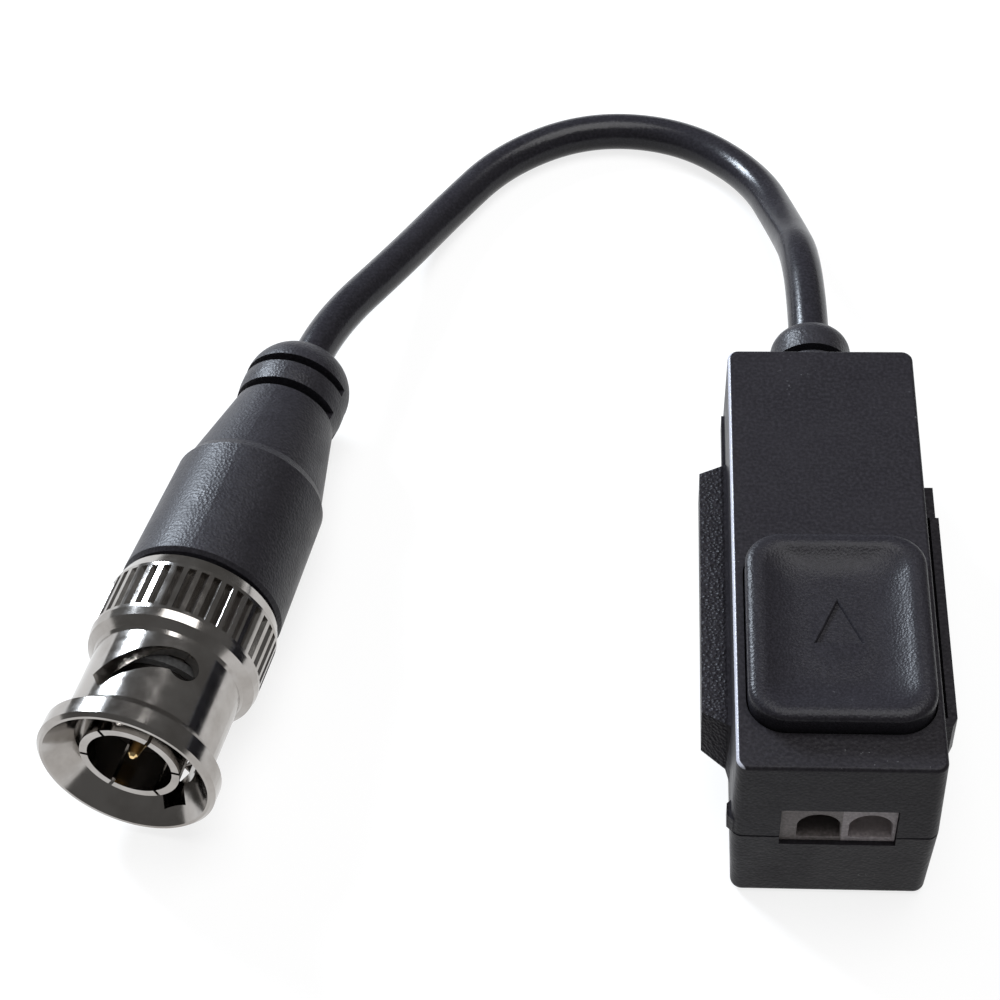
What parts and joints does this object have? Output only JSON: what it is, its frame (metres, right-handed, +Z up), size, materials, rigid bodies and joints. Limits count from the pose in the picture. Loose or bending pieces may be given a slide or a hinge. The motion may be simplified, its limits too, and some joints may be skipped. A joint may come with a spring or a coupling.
{
  "type": "cctv video balun",
  "caption": "Passive video balun: oblong housing with push-terminals under a sprung pad, interlocking side rails and a short coaxial pigtail with a bayonet plug.",
  "frame": {"origin": "centre of the housing's underside", "axes": "+Z up, +Y from the wire terminals to the cable gland, +X to the right seen from the terminals"},
  "size_m": [0.0699, 0.087, 0.0193],
  "materials": {
    "housing_plastic": "finely textured black moulding",
    "pad_plastic": "smooth satin black moulding",
    "terminal_dark": "dark grey moulding",
    "terminal_light": "light grey moulding",
    "tinned_metal": "tinned, dull",
    "spring_steel": "bright strip and wire",
    "board": "green solder mask",
    "ferrite": "sintered, dark grey",
    "bobbin_plastic": "moulded, black",
    "copper_wire": "enamelled copper",
    "component_plastic": "moulded, black",
    "ceramic": "sintered, tan",
    "cable_jacket": "smooth satin black sleeve",
    "cable_core": "translucent white",
    "boot_rubber": "moulded, fine grain",
    "nickel": "nickel plated, bright",
    "insulator_plastic": "moulded, dark grey",
    "gold": "gold plated",
    "gasket_rubber": "moulded"
  },
  "bodies": {
    "housing": {"upper_shell": "housing_plastic", "lower_shell": "housing_plastic", "terminal_block_left": "terminal_dark", "terminal_block_right": "terminal_light", "contact_bar_left": "tinned_metal", "contact_bar_right": "tinned_metal", "clamp_spring_left": "spring_steel", "clamp_spring_right": "spring_steel", "pad_spring_left": "spring_steel", "pad_spring_right": "spring_steel", "circuit_board": "board", "transformer_core": "ferrite", "transformer_bobbin": "bobbin_plastic", "transformer_winding": "copper_wire", "transformer_pins": "tinned_metal", "surge_protector": "component_plastic", "chip_capacitors": "ceramic", "cable_gland": "boot_rubber", "cable_end_housing": "cable_jacket", "cable_core_tail": "cable_core", "cable_braid_tail": "tinned_metal", "pigtail_cable": "cable_jacket", "cable_end_plug": "cable_jacket", "cable_core_plug": "cable_core", "strain_relief_boot": "boot_rubber", "crimp_ferrule": "nickel", "plug_body": "nickel", "contact_sleeve": "nickel", "plug_insulator": "insulator_plastic", "centre_contact": "gold", "sealing_gasket": "gasket_rubber", "spring_washer": "spring_steel"},
    "pad": {"push_pad": "pad_plastic"},
    "washer": {"thrust_washer": "nickel"},
    "nut": {"coupling_nut": "nickel", "retaining_ring": "spring_steel"}
  },
  "joints": [
    {"name": "pad_press", "type": "slide", "parent": "housing", "child": "pad", "axis": [0, 0, -1], "range_m": [0, 0.0012], "stiffness_N_per_m": 400, "springref_m": -0.002, "deforming": ["pad_spring_left", "pad_spring_right", "clamp_spring_left", "clamp_spring_right"]},
    {"name": "nut_pull", "type": "slide", "parent": "housing", "child": "washer", "axis": [-0.2056, -0.9772, 0.0523], "range_m": [0, 0.0006], "stiffness_N_per_m": 1500, "springref_m": -0.001, "deforming": ["spring_washer"]},
    {"name": "nut_spin", "type": "hinge", "parent": "washer", "child": "nut", "pos_m": [-0.05371, -0.0156, 0.00807], "axis": [0.2056, 0.9772, -0.0523], "continuous": true}
  ]
}
